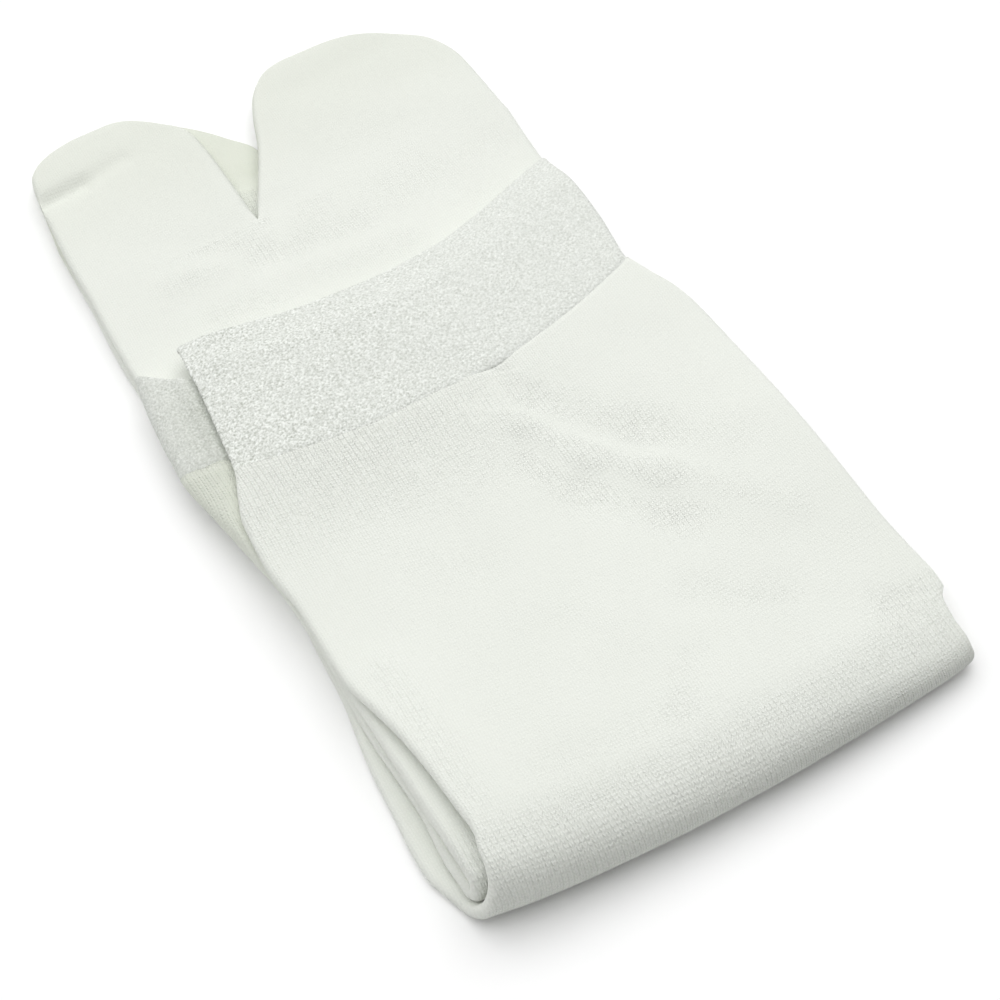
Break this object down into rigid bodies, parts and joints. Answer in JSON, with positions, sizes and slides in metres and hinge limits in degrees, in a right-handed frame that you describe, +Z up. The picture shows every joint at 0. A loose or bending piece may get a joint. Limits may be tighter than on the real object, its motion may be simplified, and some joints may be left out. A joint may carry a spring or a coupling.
{
  "type": "folded pair of tabi socks",
  "caption": "Knitted split-toe socks, laid flat one on the other and folded over at the ankle, with elasticated cuffs on top.",
  "frame": {"origin": "middle of the footprint, on the surface that the folded pair lies on", "axes": "+X right along the fold, +Y from the fold to the toes, +Z up from the surface"},
  "size_m": [0.1082, 0.209, 0.0165],
  "materials": {
    "sock_knit": "fine plain knit, white, matt with a faint sheen",
    "cuff_knit": "coarser elasticated welt knit, white, matt"
  },
  "bodies": {
    "root": {"outer_sock": "sock_knit", "inner_sock": "sock_knit", "outer_cuff": "cuff_knit", "inner_cuff": "cuff_knit"}
  },
  "joints": []
}
